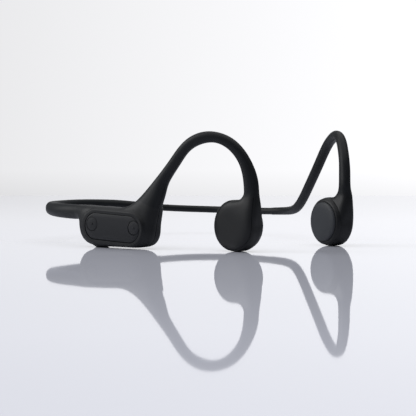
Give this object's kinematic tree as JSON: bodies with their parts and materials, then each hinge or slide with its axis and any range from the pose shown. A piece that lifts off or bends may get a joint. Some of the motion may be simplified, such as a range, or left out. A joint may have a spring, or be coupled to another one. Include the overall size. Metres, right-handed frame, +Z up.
{
  "type": "bone conduction headphones",
  "caption": "Open-ear bone conduction headphones: neckband with two ear hooks, a round transducer on each and a battery and key pod behind the right ear.",
  "frame": {"origin": "on the surface it stands on, under the middle of the bounding box", "axes": "+X forward, from the nape to the transducers; +Y to the wearer's left; +Z up"},
  "size_m": [0.1615, 0.1394, 0.0576],
  "materials": {
    "soft_touch": "satin soft-touch silicone skin",
    "pod_shell": "fine spark-textured moulded shell",
    "keypad": "matte silicone key mat",
    "housing": "satin moulded housing",
    "contact_silicone": "matte silicone pad",
    "seal": "matte",
    "spring_steel": "bright spring steel",
    "titanium": "drawn wire",
    "cable_jacket": "smooth jacket",
    "soft_iron": "turned soft iron",
    "nickel_magnet": "nickel plated",
    "copper": "enamelled copper winding",
    "gilt": "gold flash",
    "board": "solder-masked laminate",
    "cell_wrap": "pouch foil",
    "switch": "tact switch body",
    "mesh": "woven mesh",
    "light_guide": "clear acrylic"
  },
  "bodies": {
    "right_side": {"antenna": "board", "battery_cell": "cell_wrap", "button_switches": "switch", "charging_contacts": "gilt", "charging_magnets": "nickel_magnet", "cover_screws": "spring_steel", "keypad_panel": "keypad", "left_signal_cable": "cable_jacket", "main_board": "board", "memory_wire": "titanium", "microphone": "spring_steel", "microphone_mesh": "mesh", "nape_joiner": "soft_touch", "pod_inner_cover": "pod_shell", "pod_outer_shell": "pod_shell", "pod_seal": "seal", "power_key_collar": "keypad", "power_switch": "switch", "radio_shield": "spring_steel", "right_arm": "soft_touch", "right_contact_pad": "contact_silicone", "right_gasket": "seal", "right_hook": "soft_touch", "right_hook_wire": "titanium", "right_inner_plate": "housing", "right_magnet": "nickel_magnet", "right_outer_cap": "housing", "right_pole_plate": "soft_iron", "right_signal_cable": "cable_jacket", "right_suspension_spring": "spring_steel", "right_transducer_housing": "housing", "right_voice_coil": "copper", "right_yoke": "soft_iron", "status_light_pipe": "light_guide"},
    "left_side": {"left_hook": "soft_touch", "neckband_sleeve": "soft_touch", "left_contact_pad": "contact_silicone", "left_gasket": "seal", "left_inner_plate": "housing", "left_magnet": "nickel_magnet", "left_outer_cap": "housing", "left_pole_plate": "soft_iron", "left_suspension_spring": "spring_steel", "left_transducer_housing": "housing", "left_voice_coil": "copper", "left_yoke": "soft_iron"},
    "volume_up_key": {"volume_up_button": "keypad"},
    "volume_down_key": {"volume_down_button": "keypad"},
    "power_key": {"power_button": "keypad"}
  },
  "joints": [
    {"name": "volume_up_press", "type": "slide", "parent": "right_side", "child": "volume_up_key", "axis": [-0.247, 0.969, 0], "range_m": [0, 0.0004], "stiffness_N_per_m": 2500},
    {"name": "volume_down_press", "type": "slide", "parent": "right_side", "child": "volume_down_key", "axis": [-0.247, 0.969, 0], "range_m": [0, 0.0004], "stiffness_N_per_m": 2500},
    {"name": "power_press", "type": "slide", "parent": "right_side", "child": "power_key", "axis": [0, 0, 1], "range_m": [0, 0.0004], "stiffness_N_per_m": 2500},
    {"name": "neckband_flex", "type": "hinge", "parent": "right_side", "child": "left_side", "pos_m": [-0.0711, 0.03145, 0.01515], "axis": [0, 0, 1], "range_deg": [0, 15], "stiffness_Nm_per_rad": 0.35, "deforming": ["memory_wire", "left_signal_cable"]}
  ]
}
